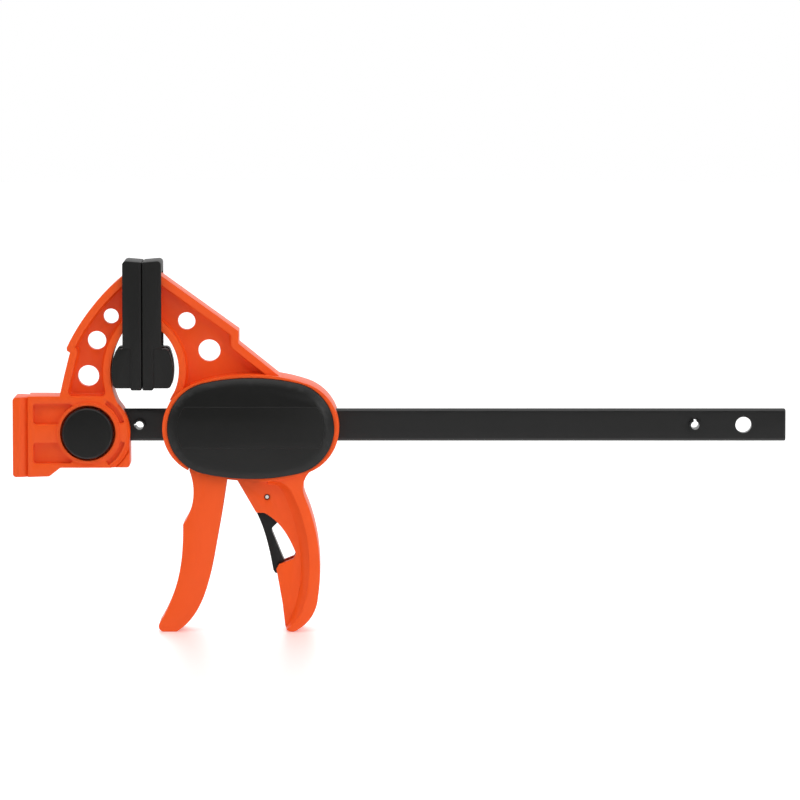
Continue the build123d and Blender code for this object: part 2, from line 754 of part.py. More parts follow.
# ========================================================= sliding jaw
throat_x, throat_z = moving_throat_centre
moving_inner_z = throat_z + math.sqrt(moving_throat_radius**2 - (arm_end_x - throat_x) ** 2)
arm_foot_z = moving_arm_foot_z
arm_foot_x = throat_x + math.sqrt(moving_throat_radius**2 - (arm_foot_z - throat_z) ** 2)
drive_plate_x = push_nose_x + part_gap
drive_spring_x = drive_plate_x + 2 * drive_plate_thickness
drive_stroke = pivot_z * math.sin(math.radians(trigger_travel))
drive_spring_solid = (drive_spring_turns + 1) * drive_spring_wire
spring_seat_x = drive_spring_x + drive_stroke + drive_spring_solid + spring_margin
spine_left_x = push_nose_x - 2 * part_gap
lever_turn = math.radians(lever_travel)
slot_back_x = (
    lever_pin_x
    + (lever_tail[0] - lever_pin_x) * math.cos(lever_turn)
    + (lever_pin_z - lever_tail[1]) * math.sin(lever_turn)
    + lever_tail_room
)
boss_half_width = trigger_half_width - trigger_wall - boss_arm_clearance
spring_seat_bottom_z = -bar_slot_half_height - spring_seat_drop
cover_half_length = housing_half_length - ring_end_wall
cover_half_height = housing_half_height - ring_flank_wall
cover_seat_y = housing_half_width - cover_seat_depth
cover_edge_y = cover_seat_y + cover_wall
cover_face_y = cover_edge_y + cover_bevel_depth
ring_outline = oval(housing_half_length, housing_half_height, housing_flank_radius)
ring_opening = oval(
    cover_half_length + slide_clearance,
    cover_half_height + slide_clearance,
    cover_flank_radius,
)
ring_core = oval(
    cover_half_length + guide_overlap,
    cover_half_height + guide_overlap,
    cover_flank_radius,
)
front_guide_x = housing_x - cover_half_length + guide_length
rear_guide_x = housing_x + cover_half_length - guide_length
post_places = [
    (x, z)
    for x in (front_guide_x - cover_post_inset, rear_guide_x + cover_post_inset)
    for z in (housing_z - cover_post_z, housing_z + cover_post_z)
]

with BuildPart() as jaw_body:
    # Arm: web and rim, as on the fixed jaw, with straight flanks.
    with BuildSketch(Plane.XZ, mode=Mode.PRIVATE) as moving_arm:
        with BuildLine():
            Polyline(
                (arm_end_x, moving_inner_z),
                (arm_end_x, arm_top_z),
                moving_arm_shoulder,
                (shoulder_x, shoulder_z - shoulder_drop),
                moving_arm_root,
                (moving_arm_root[0], arm_foot_z),
                (arm_foot_x, arm_foot_z),
            )
            ThreePointArc(
                (arm_foot_x, arm_foot_z),
                (throat_x + moving_throat_radius, throat_z),
                (arm_end_x, moving_inner_z),
            )
        make_face()
    with BuildSketch(side_plane(web_half_width)):
        add(moving_arm.sketch_local)
        with Locations((flange_back_x, neck_z)):
            Rectangle(arm_top_z, arm_top_z, align=(Align.MIN, Align.MAX), mode=Mode.INTERSECT)
    extrude(amount=2 * web_half_width)
    with BuildSketch(Plane.XZ, mode=Mode.PRIVATE) as moving_pocket:
        offset(moving_arm.sketch_local, amount=-rim_width)
        pocket_shoulder = moving_pocket.vertices().sort_by_distance((shoulder_x, shoulder_z, 0))
        fillet(pocket_shoulder[0], radius=pocket_radius)
    with BuildSketch(side_plane(arm_half_width)):
        add(moving_arm.sketch_local)
        add(moving_pocket.sketch_local, mode=Mode.SUBTRACT)
        with Locations((flange_back_x, neck_z)):
            Rectangle(arm_top_z, arm_top_z, align=(Align.MIN, Align.MAX), mode=Mode.INTERSECT)
    extrude(amount=2 * arm_half_width)
    web_edges = (
        jaw_body.edges()
        .filter_by(lambda e: abs(abs(e.center().Y) - web_half_width) < 0.01)
        .filter_by(lambda e: e.center().X > flange_back_x + 0.01)
    )
    chamfer(web_edges, length=web_chamfer)
    with BuildSketch(Plane.XY.offset(flange_bottom_z)):
        with Locations(((flange_x + flange_back_x) / 2, 0)):
            Rectangle(flange_thickness, 2 * flange_half_width)
    extrude(amount=flange_top_z - flange_bottom_z)
    with BuildSketch(side_plane(web_half_width)):
        with Locations((flange_x, spine_bottom_z)):
            Rectangle(
                flange_thickness, flange_bottom_z + flange_thickness - spine_bottom_z, align=Align.MIN
            )
            Rectangle(spine_reach - flange_x, spine_top_z - spine_bottom_z, align=Align.MIN)
    extrude(amount=2 * web_half_width)
    with BuildSketch(side_plane(arm_half_width)):
        for centre, radius in moving_holes:
            with Locations(centre):
                Circle(radius)
    extrude(amount=2 * arm_half_width, mode=Mode.SUBTRACT)
    # Grip: a thin panel with a broad palm rim down its back.
    with BuildSketch(side_plane(grip_half_width)):
        with BuildLine():
            Polyline(
                palm_back[-1],
                (palm_back[-1][0], grip_top_z),
                (grip_neck_x, grip_top_z),
                (spine_left_x, grip_spine_z[0]),
                (spine_left_x, grip_spine_z[1]),
                *grip_front,
            )
            Spline(*grip_opening)
            Polyline(*grip_foot)
            ThreePointArc(grip_foot[-1], grip_tip, palm_back[0])
            arc_run(palm_back, palm_back_start)
        make_face()
    extrude(amount=2 * grip_half_width)
    with BuildSketch(side_plane(palm_half_width)):
        with BuildLine():
            Polyline(palm_back[-1], (palm_back[-1][0], grip_top_z), palm_neck, palm_rim[0])
            arc_run(palm_rim, palm_rim_start)
            ThreePointArc(palm_rim[-1], palm_tip, palm_back[0])
            arc_run(palm_back, palm_back_start)
        make_face()
    extrude(amount=2 * palm_half_width)
    # Slope from the panel up to the palm rim, lofted on each face.
    for side in (-1, 1):
        with BuildSketch(side_plane(side * grip_half_width)):
            with BuildLine():
                arc_run(palm_slope_foot, palm_slope_start)
                Polyline(palm_slope_foot[-1], *palm_core, palm_slope_foot[0])
            make_face()
        with BuildSketch(side_plane(side * (grip_half_width + palm_slope_height))):
            with BuildLine():
                arc_run(palm_rim, palm_rim_start)
                Polyline(palm_rim[-1], *palm_core, palm_rim[0])
            make_face()
        loft(ruled=True)
    # Oval housing: an open ring closed by the two covers.
    with BuildSketch(side_plane(housing_half_width)):
        add(ring_outline)
    extrude(amount=2 * housing_half_width)
    with BuildSketch(side_plane(housing_half_width)):
        add(ring_opening)
    extrude(amount=2 * housing_half_width, mode=Mode.SUBTRACT)
    # Inside the ring: two bar guides, which the covers are pressed on to.
    with BuildSketch(side_plane(cover_seat_y)):
        for guide_end_x, side in ((front_guide_x, Align.MAX), (rear_guide_x, Align.MIN)):
            with Locations((guide_end_x, housing_z)):
                Rectangle(
                    guide_length + guide_overlap,
                    2 * housing_half_height,
                    align=(side, Align.CENTER),
                )
        add(ring_core, mode=Mode.INTERSECT)
    extrude(amount=2 * cover_seat_y)
    # The trigger's pivot boss, the drive spring's seat and the brake's fulcrum.
    with BuildSketch(side_plane(boss_half_width)):
        with Locations((pivot_x, pivot_z)):
            Circle(trigger_hub_radius - 2 * part_gap)
            Rectangle(boss_rib_thickness, housing_half_height, align=(Align.CENTER, Align.MIN))
        with Locations((spring_seat_x, spring_seat_bottom_z)):
            Rectangle(
                spring_seat_thickness, 2 * housing_half_height, align=(Align.MIN, Align.MIN)
            )
        with Locations((brake_x - part_gap, brake_top_z - fulcrum_drop)):
            Rectangle(
                brake_x - part_gap - spring_seat_x,
                housing_half_height,
                align=(Align.MAX, Align.MIN),
            )
        add(ring_core, mode=Mode.INTERSECT)
    extrude(amount=2 * boss_half_width)
    # Way for the bar through the ring's ends, the guides and the spring seat.
    with BuildSketch(Plane.YZ):
        Rectangle(2 * bar_slot_half_width, 2 * bar_slot_half_height)
    extrude(amount=housing_x + housing_half_length + 1, mode=Mode.SUBTRACT)
    # Opening under the ring: right across for the trigger's front wall, and on
    # past the panel on both sides for its two arms.
    with BuildSketch(side_plane(housing_half_width)):
        with Locations((trigger_gap_x, -housing_half_height)):
            Rectangle(
                spine_left_x - trigger_gap_x, trigger_gap_height, align=(Align.MIN, Align.CENTER)
            )
    extrude(amount=2 * housing_half_width, mode=Mode.SUBTRACT)
    for side in (-1, 1):
        with BuildSketch(side_plane(side * grip_half_width)):
            with Locations((trigger_gap_x, -housing_half_height)):
                Rectangle(
                    trigger_gap_end_x - trigger_gap_x,
                    trigger_gap_height,
                    align=(Align.MIN, Align.CENTER),
                )
        extrude(amount=-side * housing_half_width, mode=Mode.SUBTRACT)
    # Slot in the grip for the release lever, up into the housing.
    with BuildSketch(side_plane(grip_slot_half_width)):
        with BuildLine():
            Polyline(
                *lever_slot_top,
                (slot_back_x - slot_back_ease[0], lever_slot_back_z[0]),
                (slot_back_x, lever_slot_back_z[1]),
                (slot_back_x, lever_slot_back_z[2]),
                (slot_back_x - slot_back_ease[1], lever_slot_back_z[3]),
                *lever_slot_front,
                close=True,
            )
        make_face()
    extrude(amount=2 * grip_slot_half_width, mode=Mode.SUBTRACT)
    # Pin holes, with a countersink round the lever's pin, and the post holes.
    with BuildSketch(side_plane(housing_half_width)):
        with Locations((pivot_x, pivot_z)):
            Circle(pivot_pin_diameter / 2)
        with Locations((lever_pin_x, lever_pin_z)):
            Circle(lever_pin_diameter / 2)
    extrude(amount=2 * housing_half_width, mode=Mode.SUBTRACT)
    for side in (-1, 1):
        with BuildSketch(side_plane(side * (grip_half_width - counterbore_depth))):
            with Locations((lever_pin_x, lever_pin_z)):
                Circle(lever_pin_diameter / 2 + counterbore_margin)
        extrude(amount=-side * counterbore_depth, mode=Mode.SUBTRACT)
        with BuildSketch(side_plane(side * cover_seat_y)):
            with Locations(*post_places):
                Circle(cover_post_radius)
        extrude(amount=side * (cover_post_length + part_gap), mode=Mode.SUBTRACT)
jaw_body.part.label = "jaw_body"
export_step(jaw_body.part, "parts/jaw_body.step")

# Snap-in oval cover: a bevelled dome with a flat band across, and four posts.
with BuildPart() as cover_front:
    with BuildSketch(side_plane(-cover_seat_y)):
        add(oval(cover_half_length, cover_half_height, cover_flank_radius))
    extrude(amount=cover_face_y - cover_seat_y)
    front_face = cover_front.faces().sort_by(Axis.Y)[0]
    chamfer(
        front_face.edges(),
        length=cover_bevel,
        length2=cover_bevel_depth,
        reference=front_face,
    )
    with BuildSketch(side_plane(-cover_face_y)):
        add(
            oval(
                cover_half_length - cover_band_inset,
                cover_half_height - cover_band_inset,
                cover_flank_radius,
            )
        )
        with Locations((housing_x, housing_z + cover_band_lift)):
            Rectangle(2 * cover_half_length, cover_band_height, mode=Mode.INTERSECT)
    extrude(amount=cover_band_rise)
    with BuildSketch(side_plane(-cover_seat_y)):
        add(
            oval(
                cover_half_length - cover_hollow_inset[0],
                cover_half_height - cover_hollow_inset[1],
                cover_flank_radius,
            )
        )
    extrude(amount=cover_hollow_depth, mode=Mode.SUBTRACT)
    with BuildSketch(side_plane(-cover_seat_y)):
        with Locations(*post_places):
            Circle(cover_post_radius)
    extrude(amount=-cover_post_length)
cover_front.part.label = "cover_front"
export_step(cover_front.part, "parts/cover_front.step")

with BuildPart() as cover_back:
    mirror(cover_front.part, about=Plane.XZ)
cover_back.part.label = "cover_back"
export_step(cover_back.part, "parts/cover_back.step")

# ============================================================== trigger
# Deep channel, open towards the grip, so that its sides close over the grip's
# panel.  Two arms carry it up past the bar to the pivot, and a rounded lug on
# each arm pushes the drive plates.
with BuildPart() as trigger_pivot_pin:
    with BuildSketch(side_plane(cover_seat_y - part_gap)):
        with Locations((pivot_x, pivot_z)):
            Circle(pivot_pin_diameter / 2)
    extrude(amount=2 * (cover_seat_y - part_gap))
trigger_pivot_pin.part.label = "trigger_pivot_pin"
export_step(trigger_pivot_pin.part, "parts/trigger_pivot_pin.step")

hub_left_x = pivot_x - trigger_hub_radius
hub_right_x = pivot_x + trigger_hub_radius
channel_half_width = trigger_half_width - trigger_wall
channel_floor = [
    (x + trigger_front_wall, z) for x, z in trigger_front_upper + trigger_front_lower[1:-1]
]

with BuildPart() as trigger:
    with BuildSketch(side_plane(trigger_half_width)) as trigger_side:
        with BuildLine():
            Line((hub_left_x, pivot_z), trigger_front_upper[0])
            Spline(*trigger_front_upper)
            Spline(*trigger_front_lower)
            ThreePointArc(trigger_front_lower[-1], *trigger_tip)
            Line(trigger_tip[-1], trigger_back[0])
            Spline(*trigger_back)
            Polyline(
                trigger_back[-1],
                (push_nose_x, -trigger_neck_z),
                (push_nose_x, trigger_neck_z),
                (hub_right_x, pivot_z),
            )
            ThreePointArc(
                (hub_right_x, pivot_z),
                (pivot_x, pivot_z + trigger_hub_radius),
                (hub_left_x, pivot_z),
            )
        make_face()
    extrude(amount=2 * trigger_half_width)
    with BuildSketch(side_plane(channel_half_width)):
        with BuildLine():
            Polyline(
                channel_floor[0],
                (channel_floor[0][0], trigger_web_top_z),
                (0, trigger_web_top_z),
                (0, pivot_z + 2 * trigger_hub_radius),
                (2 * pivot_x, pivot_z + 2 * trigger_hub_radius),
                (2 * pivot_x, trigger_channel_end[1]),
                trigger_channel_end,
                channel_floor[-1],
            )
            Spline(*channel_floor)
        make_face()
    extrude(amount=2 * channel_half_width, mode=Mode.SUBTRACT)
    with BuildSketch(side_plane(channel_half_width)):
        for z in trigger_rib_z:
            with Locations((pivot_x, z)):
                Rectangle(2 * pivot_x, trigger_rib_thickness)
        add(trigger_side.sketch_local, mode=Mode.INTERSECT)
        with Locations((-trigger_rib_setback, 0)):
            add(trigger_side.sketch_local, mode=Mode.INTERSECT)
    extrude(amount=2 * channel_half_width)
    for side in (-1, 1):
        with BuildSketch(side_plane(side * lug_inner_y)):
            with Locations((push_nose_x - push_nose_radius, 0)):
                Circle(push_nose_radius)
                Rectangle(
                    2 * push_nose_radius, 2 * push_nose_radius, align=(Align.MAX, Align.CENTER)
                )
        extrude(amount=-side * (channel_half_width - lug_inner_y + weld_overlap))
    with BuildSketch(side_plane(trigger_half_width)):
        with Locations((pivot_x, pivot_z)):
            Circle(pivot_pin_diameter / 2 + pin_clearance)
    extrude(amount=2 * trigger_half_width, mode=Mode.SUBTRACT)
trigger.part.label = "trigger"
export_step(trigger.part, "parts/trigger.step")

# ================================================== drive and brake parts
window_height = bar_height + 2 * plate_clearance
window_width = bar_thickness + 2 * plate_clearance

# Two hardened steel plates that bite on the bar when the trigger pushes them.
for number in (1, 2):
    with BuildPart() as drive_plate:
        with BuildSketch(Plane.YZ.offset(drive_plate_x + (number - 1) * drive_plate_thickness)):
            with Locations((0, (drive_plate_top_z + drive_plate_bottom_z) / 2)):
                RectangleRounded(
                    2 * drive_plate_half_width,
                    drive_plate_top_z - drive_plate_bottom_z,
                    plate_corner_radius,
                )
            Rectangle(window_width, window_height, mode=Mode.SUBTRACT)
        extrude(amount=drive_plate_thickness)
    drive_plate.part.label = f"drive_plate_{number}"
    export_step(drive_plate.part, f"parts/drive_plate_{number}.step")

with BuildPart() as drive_spring:
    add(
        coil_spring(
            Plane(origin=(drive_spring_x, 0, 0), z_dir=(1, 0, 0)).location,
            spring_seat_x - drive_spring_x,
            drive_spring_radius,
            drive_spring_wire,
            drive_spring_turns,
        )
    )
drive_spring.part.label = "drive_spring"
export_step(drive_spring.part, "parts/drive_spring.step")

# Brake plate, held askew so that it grips the bar until its foot is let go.
tilt = math.radians(brake_tilt)
brake_plane = Plane(
    origin=(brake_x, 0, brake_top_z),
    x_dir=(0, 1, 0),
    z_dir=(math.cos(tilt), 0, math.sin(tilt)),
)
with BuildPart() as brake_plate:
    with BuildSketch(brake_plane):
        with Locations((0, (brake_bottom_z - brake_top_z) / 2)):
            RectangleRounded(
                2 * drive_plate_half_width, brake_top_z - brake_bottom_z, plate_corner_radius
            )
        with Locations((0, -brake_top_z / math.cos(tilt))):
            Rectangle(
                window_width,
                window_height + brake_plate_thickness * math.tan(tilt),
                mode=Mode.SUBTRACT,
            )
    extrude(amount=brake_plate_thickness)
brake_plate.part.label = "brake_plate"
export_step(brake_plate.part, "parts/brake_plate.step")

brake_spring_x = (
    brake_x
    + brake_plate_thickness
    + part_gap
    + (brake_top_z + drive_spring_radius + brake_spring_wire) * math.tan(tilt)
)
with BuildPart() as brake_spring:
    add(
        coil_spring(
            Plane(origin=(brake_spring_x, 0, 0), z_dir=(1, 0, 0)).location,
            rear_guide_x - brake_spring_x,
            drive_spring_radius,
            brake_spring_wire,
            brake_spring_turns,
        )
    )
brake_spring.part.label = "brake_spring"
export_step(brake_spring.part, "parts/brake_spring.step")

# ======================================================== release lever
with BuildPart() as release_lever_pin:
    with BuildSketch(side_plane(grip_half_width - lever_pin_recess)):
        with Locations((lever_pin_x, lever_pin_z)):
            Circle(lever_pin_diameter / 2)
    extrude(amount=2 * (grip_half_width - lever_pin_recess))
release_lever_pin.part.label = "release_lever_pin"
export_step(release_lever_pin.part, "parts/release_lever_pin.step")

lever_nose_x = brake_x + (brake_top_z - lever_nose_z) * math.sin(tilt) - part_gap
with BuildPart() as release_lever:
    with BuildSketch(side_plane(lever_half_width)):
        with BuildLine():
            Polyline(
                (lever_pin_x - lever_shank_half_width, lever_shank_z),
                (lever_nose_x - lever_nose_width, lever_nose_z - lever_nose_bevels[0]),
                (lever_nose_x - lever_nose_width + lever_nose_bevels[1], lever_nose_z),
                (lever_nose_x - lever_nose_bevels[2], lever_nose_z),
                (lever_nose_x, lever_nose_z - lever_nose_bevels[2]),
                (lever_nose_x, lever_nose_z - 0.6 * lever_nose_drop),
                (lever_nose_x - lever_nose_bevels[3], lever_nose_z - lever_nose_drop),
                (lever_pin_x + lever_shank_half_width, lever_shank_z),
                *lever_back,
            )
            Spline(lever_back[-1], lever_finger_hollow, lever_tail)
            Polyline(lever_tail, *lever_foot)
            Spline(*lever_front)
            Polyline(
                lever_front[-1],
                *lever_shoulder,
                (lever_pin_x - lever_shank_half_width, lever_shank_z),
            )
        make_face()
        with Locations((lever_pin_x, lever_pin_z)):
            Circle(lever_hub_radius)
            Circle(lever_pin_diameter / 2 + pin_clearance, mode=Mode.SUBTRACT)
    extrude(amount=2 * lever_half_width)
release_lever.part.label = "release_lever"
export_step(release_lever.part, "parts/release_lever.step")
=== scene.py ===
"""Quick release bar clamp: a steel bar, two moulded jaws and their pistol grip."""

import json
import math

import bpy
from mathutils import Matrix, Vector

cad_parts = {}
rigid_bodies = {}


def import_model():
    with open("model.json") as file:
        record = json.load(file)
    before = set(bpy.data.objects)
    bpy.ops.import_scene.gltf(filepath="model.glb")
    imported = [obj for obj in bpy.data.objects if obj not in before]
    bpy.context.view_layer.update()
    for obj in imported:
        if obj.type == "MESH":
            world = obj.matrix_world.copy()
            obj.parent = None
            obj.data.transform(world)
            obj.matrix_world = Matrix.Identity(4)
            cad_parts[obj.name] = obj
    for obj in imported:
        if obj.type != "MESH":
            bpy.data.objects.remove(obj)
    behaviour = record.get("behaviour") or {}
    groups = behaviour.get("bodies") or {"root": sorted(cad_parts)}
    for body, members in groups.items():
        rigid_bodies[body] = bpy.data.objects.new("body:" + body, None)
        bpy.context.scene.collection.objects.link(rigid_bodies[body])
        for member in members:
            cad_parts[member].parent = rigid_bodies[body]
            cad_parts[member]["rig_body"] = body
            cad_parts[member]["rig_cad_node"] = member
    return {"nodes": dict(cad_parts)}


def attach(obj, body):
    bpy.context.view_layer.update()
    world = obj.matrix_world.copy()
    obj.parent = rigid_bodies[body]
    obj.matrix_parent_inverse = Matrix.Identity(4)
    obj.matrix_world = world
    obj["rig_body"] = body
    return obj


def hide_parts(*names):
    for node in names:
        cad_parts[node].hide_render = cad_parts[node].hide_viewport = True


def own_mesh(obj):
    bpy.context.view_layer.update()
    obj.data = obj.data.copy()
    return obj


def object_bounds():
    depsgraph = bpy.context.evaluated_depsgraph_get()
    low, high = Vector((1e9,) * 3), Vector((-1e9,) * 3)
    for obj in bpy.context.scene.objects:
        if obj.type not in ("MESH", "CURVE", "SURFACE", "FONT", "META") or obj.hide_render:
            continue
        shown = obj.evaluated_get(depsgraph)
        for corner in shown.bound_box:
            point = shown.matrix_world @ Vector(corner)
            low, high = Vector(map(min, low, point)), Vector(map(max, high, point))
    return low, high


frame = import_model()
cad_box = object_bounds()

# ------------------------------------------------------------------ camera
# A long lens from the front, a little above the bar, so that the clamp is seen
# almost square on and the tops of the bar and pads just show.
view_target = (0.11141, 0.0, 0.01064)
view_distance = 2.45
view_height = math.radians(5.0)
view_width = 0.3472
camera_data = bpy.data.cameras.new("camera")
camera_data.sensor_width = 36.0
camera_data.lens = camera_data.sensor_width * view_distance / view_width
camera = bpy.data.objects.new("camera", camera_data)
camera.location = (
    view_target[0],
    view_target[1] - view_distance * math.cos(view_height),
    view_target[2] + view_distance * math.sin(view_height),
)
camera.rotation_euler = (math.pi / 2 - view_height, 0, 0)
bpy.context.scene.collection.objects.link(camera)
bpy.context.scene.camera = camera


# ------------------------------------------------------- room: floor and light
# White studio sweep under and behind the clamp, a dark room behind the camera, a
# softbox on either side, a broad one overhead and a gridded spot on the grips.
def linear(code):
    """An sRGB hex colour as linear red, green, blue and alpha."""
    light = []
    for start in (1, 3, 5):
        channel = int(code[start : start + 2], 16) / 255
        dark = channel < 0.04045
        light.append(channel / 12.92 if dark else ((channel + 0.055) / 1.055) ** 2.4)
    return light + [1.0]


def add_node(tree, kind, settings=None, values=None, links=None):
    """Adds a node: its settings, its sockets' own values, and what feeds them."""
    made = tree.nodes.new(kind)
    for name, value in (settings or {}).items():
        setattr(made, name, value)
    for socket, value in (values or {}).items():
        made.inputs[socket].default_value = value
    for socket, (source, output) in (links or {}).items():
        tree.links.new(source.outputs[output], made.inputs[socket])
    return made


def new_material(name):
    """A material and its node tree, which is still empty."""
    made = bpy.data.materials.new(name)
    made.use_nodes = True
    made.node_tree.nodes.clear()
    return made, made.node_tree


floor_radius = 4.0
floor_centre = (0.1, 0, cad_box[0][2])
bpy.ops.object.select_all(action="DESELECT")
bpy.ops.mesh.primitive_circle_add(
    vertices=96, radius=floor_radius, fill_type="NGON", location=floor_centre
)
floor = bpy.context.active_object
floor.name = "floor"

# White acrylic sheet, satin on its face: it takes a soft shadow and gives back a
# short blurred reflection of whatever stands on it.
sweep_sheet, tree = new_material("glossy_white_sweep_sheet")
rays = add_node(tree, "ShaderNodeLightPath")
# The lamps hang over the clamp, so the sheet glows more where it runs on in front
# of it, out of their light.
light_reach = 0.5
place = add_node(tree, "ShaderNodeTexCoord")
run = add_node(tree, "ShaderNodeSeparateXYZ", links={0: (place, "Object")})
fill = add_node(
    tree,
    "ShaderNodeMapRange",
    values={
        "From Min": -floor_radius,
        "From Max": -light_reach,
        "To Min": 0.75,
        "To Max": 0.25,
    },
    links={"Value": (run, "Y")},
)
glow = add_node(
    tree,
    "ShaderNodeMath",
    {"operation": "MULTIPLY"},
    links={0: (rays, "Is Camera Ray"), 1: (fill, 0)},
)
lit = add_node(
    tree,
    "ShaderNodeEmission",
    values={"Color": linear("#FFFFFF")},
    links={"Strength": (glow, 0)},
)
matt = add_node(tree, "ShaderNodeBsdfDiffuse", values={"Color": linear("#A0A0A0")})
sheen = add_node(
    tree, "ShaderNodeBsdfGlossy", values={"Color": linear("#DEDEDE"), "Roughness": 0.42}
)
face = add_node(tree, "ShaderNodeAddShader", links={0: (matt, 0), 1: (sheen, 0)})
glowing_face = add_node(tree, "ShaderNodeAddShader", links={0: (lit, 0), 1: (face, 0)})
add_node(tree, "ShaderNodeOutputMaterial", links={"Surface": (glowing_face, 0)})
floor.data.materials.append(sweep_sheet)

world = bpy.data.worlds.new("white_sweep_and_dark_room")
bpy.context.scene.world = world
world.use_nodes = True
tree = world.node_tree
tree.nodes.clear()
# The background is white to the camera, and through whatever lets light pass.
rays = add_node(tree, "ShaderNodeLightPath")
seen = add_node(
    tree,
    "ShaderNodeMath",
    {"operation": "MAXIMUM"},
    links={0: (rays, "Is Camera Ray"), 1: (rays, "Is Transmission Ray")},
)
# What lights the clamp and mirrors in it is white behind it and dark in front.
looking = add_node(tree, "ShaderNodeTexCoord")
depth = add_node(tree, "ShaderNodeSeparateXYZ", links={0: (looking, "Generated")})
sweep = add_node(
    tree,
    "ShaderNodeMapRange",
    {"interpolation_type": "SMOOTHSTEP"},
    {"From Min": -0.75, "From Max": 0.25, "To Min": 0.06, "To Max": 1.0},
    {"Value": (depth, "Y")},
)
white = add_node(
    tree,
    "ShaderNodeMath",
    {"operation": "MAXIMUM"},
    links={0: (sweep, 0), 1: (seen, 0)},
)
surround = add_node(
    tree,
    "ShaderNodeBackground",
    values={"Color": linear("#FFFFFF")},
    links={"Strength": (white, 0)},
)
add_node(tree, "ShaderNodeOutputWorld", links={"Surface": (surround, 0)})


def hang_lamp(name, kind, place, aim, watts):
    """Hangs a lamp at a place, turned to its aim, and gives back its settings."""
    settings = bpy.data.lights.new(name, kind)
    settings.energy = watts
    lamp = bpy.data.objects.new(name, settings)
    lamp.location = place
    direction = Vector(aim) - Vector(place)
    lamp.rotation_euler = direction.to_track_quat("-Z", "Y").to_euler()
    bpy.context.scene.collection.objects.link(lamp)
    return settings


for name, place, aim, (width, height), watts in (
    ("overhead_softbox", (0.1, -0.9, 1.6), (0.1, 0, 0), (1.8, 1.6), 16.0),
    ("left_softbox", (-1.7, -1.3, 1.2), (0.05, 0, -0.05), (1.0, 0.8), 8.0),
    ("right_softbox", (1.9, -1.3, 1.2), (0.1, 0, -0.05), (1.0, 0.8), 9.0),
):
    softbox = hang_lamp(name, "AREA", place, aim, watts)
    softbox.shape = "RECTANGLE"
    softbox.size = width
    softbox.size_y = height

spot = hang_lamp(
    "grip_spot", "SPOT", place=(1.3, -2.0, 0.5), aim=(0.12, 0, -0.06), watts=44.0
)
spot.spot_size = math.radians(10.0)
spot.spot_blend = 1.0
spot.shadow_soft_size = 0.15

bpy.context.scene.view_settings.view_transform = "Standard"


# --------------------------------------------------------------------- bar
# Cold-drawn steel flat, sheared to length and black coated.  It carries both
# jaws, and its cross holes take the lock pin and a hook to hang it by.
mm_per_metre = 1000.0


def object_pattern(tree, size, stretch=(1, 1, 1), detail=2.0):
    """A noise of a size in the piece's own millimetres, drawn out along its axes,
    as the output that other nodes link to."""
    place = add_node(tree, "ShaderNodeTexCoord")
    millimetres = add_node(
        tree,
        "ShaderNodeMapping",
        values={"Scale": [mm_per_metre / s for s in stretch]},
        links={"Vector": (place, "Object")},
    )
    noise = add_node(
        tree,
        "ShaderNodeTexNoise",
        values={"Scale": 1 / size, "Detail": detail},
        links={"Vector": (millimetres, 0)},
    )
    return noise, "Fac"


def finish_material(
    tree, values, colours=(), tone=None, roughness=(), grain=None, bump=()
):
    """Ends a material in its shader, whose own values are the same all over.

    The tone mixes the two colours.  The grain takes the roughness from its lowest
    to its highest, and makes a bump of a strength and a depth in metres.
    """
    links = {}
    if colours:
        # The mix node's sockets for colours, which share their names with others.
        factor, colour_a, colour_b, mixture = 0, 6, 7, 2
        mix = add_node(
            tree,
            "ShaderNodeMix",
            {"data_type": "RGBA"},
            {colour_a: linear(colours[0]), colour_b: linear(colours[1])},
            {factor: tone},
        )
        links["Base Color"] = (mix, mixture)
    if roughness:
        gloss = add_node(
            tree,
            "ShaderNodeMapRange",
            values={"To Min": roughness[0], "To Max": roughness[1]},
            links={"Value": grain},
        )
        links["Roughness"] = (gloss, 0)
    if bump:
        relief = add_node(
            tree,
            "ShaderNodeBump",
            values={"Strength": bump[0], "Distance": bump[1]},
            links={"Height": grain},
        )
        links["Normal"] = (relief, 0)
    shader = add_node(tree, "ShaderNodeBsdfPrincipled", values=values, links=links)
    add_node(tree, "ShaderNodeOutputMaterial", links={"Surface": (shader, 0)})


# Cold-drawn steel under a thin black oxide: the die leaves lines along the bar,
# so its dull shine is finely streaked.  Real die lines are about 0.05 mm apart;
# they are drawn 0.35 mm apart, or they would not show.  The blotches are 9 mm.
black_oxide, tree = new_material("black_oxide_drawn_steel")
finish_material(
    tree,
    {"IOR": 1.5, "Specular IOR Level": 0.5},
    colours=("#0E0E0E", "#141414"),
    tone=object_pattern(tree, 9.0, detail=3.0),
    roughness=(0.27, 0.4),
    grain=object_pattern(tree, 0.35, stretch=(40, 1, 1)),
    bump=(0.35, 0.00002),
)

# Points nearer than touching are one point, and faces that turn by less than
# flat_turn are one face.  An edge that turns by more than sharp_turn is rounded,
# and one that turns by more than crisp_turn stays crisp in the shading.
touching = 1e-6
flat_turn = math.radians(0.5)
sharp_turn = math.radians(28.0)
crisp_turn = math.radians(35.0)


